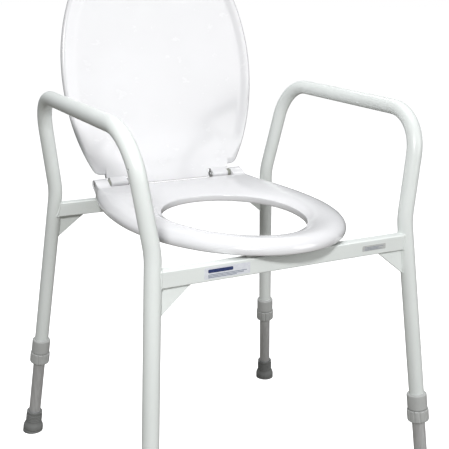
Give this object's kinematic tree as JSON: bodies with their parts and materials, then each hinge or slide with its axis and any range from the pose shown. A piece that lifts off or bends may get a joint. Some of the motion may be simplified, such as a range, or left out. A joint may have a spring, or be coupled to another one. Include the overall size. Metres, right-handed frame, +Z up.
{
  "type": "over-toilet commode chair",
  "caption": "Freestanding toilet chair: white bent-tube frame with armrests, hinged oval seat and lid, and height-adjustable legs with rubber feet.",
  "frame": {"origin": "on the floor, midway between the feet", "axes": "+Z up, -Y towards the front of the seat, +X towards the right of the picture when seen from the front"},
  "size_m": [0.5864, 0.6056, 0.9805],
  "materials": {
    "bare_steel": "drawn tube",
    "bearing_plastic": "moulded, natural",
    "bracket_plastic": "moulded, mid grey",
    "buffer_rubber": "soft white rubber",
    "foot_rubber": "moulded grey rubber",
    "grey_collar_plastic": "moulded, light grey",
    "label_end": "printed film",
    "label_main": "printed film",
    "lid_plastic": "high gloss white",
    "powder_coat": "satin white powder coat on steel",
    "seat_plastic": "high gloss white",
    "zinc_steel": "zinc plated"
  },
  "bodies": {
    "frame": {"left_side_frame": "powder_coat", "right_side_frame": "powder_coat", "front_rail": "powder_coat", "rear_rail": "powder_coat", "gusset_front_left": "powder_coat", "leg_collar_front_left": "grey_collar_plastic", "leg_collet_front_left": "bearing_plastic", "gusset_front_right": "powder_coat", "leg_collar_front_right": "grey_collar_plastic", "leg_collet_front_right": "bearing_plastic", "gusset_rear_left": "powder_coat", "leg_collar_rear_left": "grey_collar_plastic", "leg_collet_rear_left": "bearing_plastic", "gusset_rear_right": "powder_coat", "leg_collar_rear_right": "grey_collar_plastic", "leg_collet_rear_right": "bearing_plastic", "hinge_bracket_left": "bracket_plastic", "hinge_bracket_right": "bracket_plastic", "hinge_pin_left": "zinc_steel", "hinge_pin_right": "zinc_steel", "hinge_retainers": "zinc_steel", "hinge_screws": "zinc_steel", "rail_label": "label_main", "rail_end_label": "label_end"},
    "seat": {"seat": "seat_plastic", "seat_buffers": "buffer_rubber"},
    "lid": {"lid": "lid_plastic", "lid_buffers": "buffer_rubber", "lid_knuckle_left": "lid_plastic", "lid_knuckle_right": "lid_plastic"},
    "leg_front_left": {"leg_extension_front_left": "bare_steel", "leg_guide_bush_front_left": "bearing_plastic", "leg_ferrule_front_left": "foot_rubber", "ferrule_washer_front_left": "zinc_steel"},
    "lock_ring_front_left": {"leg_lock_ring_front_left": "grey_collar_plastic"},
    "leg_front_right": {"leg_extension_front_right": "bare_steel", "leg_guide_bush_front_right": "bearing_plastic", "leg_ferrule_front_right": "foot_rubber", "ferrule_washer_front_right": "zinc_steel"},
    "lock_ring_front_right": {"leg_lock_ring_front_right": "grey_collar_plastic"},
    "leg_rear_left": {"leg_extension_rear_left": "bare_steel", "leg_guide_bush_rear_left": "bearing_plastic", "leg_ferrule_rear_left": "foot_rubber", "ferrule_washer_rear_left": "zinc_steel"},
    "lock_ring_rear_left": {"leg_lock_ring_rear_left": "grey_collar_plastic"},
    "leg_rear_right": {"leg_extension_rear_right": "bare_steel", "leg_guide_bush_rear_right": "bearing_plastic", "leg_ferrule_rear_right": "foot_rubber", "ferrule_washer_rear_right": "zinc_steel"},
    "lock_ring_rear_right": {"leg_lock_ring_rear_right": "grey_collar_plastic"}
  },
  "joints": [
    {"name": "lid_hinge", "type": "hinge", "parent": "frame", "child": "lid", "pos_m": [0, 0.207, 0.51], "axis": [-1, 0, 0], "range_deg": [-100, 0]},
    {"name": "seat_hinge", "type": "hinge", "parent": "frame", "child": "seat", "pos_m": [0, 0.207, 0.51], "axis": [-1, 0, 0], "range_deg": [0, 95]},
    {"name": "leg_slide_front_left", "type": "slide", "parent": "frame", "child": "leg_front_left", "axis": [-0.0743, -0.1169, -0.9904], "range_m": [-0.075, 0.05]},
    {"name": "lock_turn_front_left", "type": "hinge", "parent": "frame", "child": "lock_ring_front_left", "pos_m": [-0.2502, -0.25997, 0.16429], "axis": [-0.0743, -0.1169, -0.9904], "range_deg": [0, 90]},
    {"name": "leg_slide_front_right", "type": "slide", "parent": "frame", "child": "leg_front_right", "axis": [0.0743, -0.1169, -0.9904], "range_m": [-0.075, 0.05]},
    {"name": "lock_turn_front_right", "type": "hinge", "parent": "frame", "child": "lock_ring_front_right", "pos_m": [0.2502, -0.25997, 0.16429], "axis": [0.0743, -0.1169, -0.9904], "range_deg": [0, 90]},
    {"name": "leg_slide_rear_left", "type": "slide", "parent": "frame", "child": "leg_rear_left", "axis": [-0.0958, 0.1205, -0.9881], "range_m": [-0.075, 0.05]},
    {"name": "lock_turn_rear_left", "type": "hinge", "parent": "frame", "child": "lock_ring_rear_left", "pos_m": [-0.25758, 0.26123, 0.16508], "axis": [-0.0958, 0.1205, -0.9881], "range_deg": [0, 90]},
    {"name": "leg_slide_rear_right", "type": "slide", "parent": "frame", "child": "leg_rear_right", "axis": [0.0958, 0.1205, -0.9881], "range_m": [-0.075, 0.05]},
    {"name": "lock_turn_rear_right", "type": "hinge", "parent": "frame", "child": "lock_ring_rear_right", "pos_m": [0.25758, 0.26123, 0.16508], "axis": [0.0958, 0.1205, -0.9881], "range_deg": [0, 90]}
  ]
}
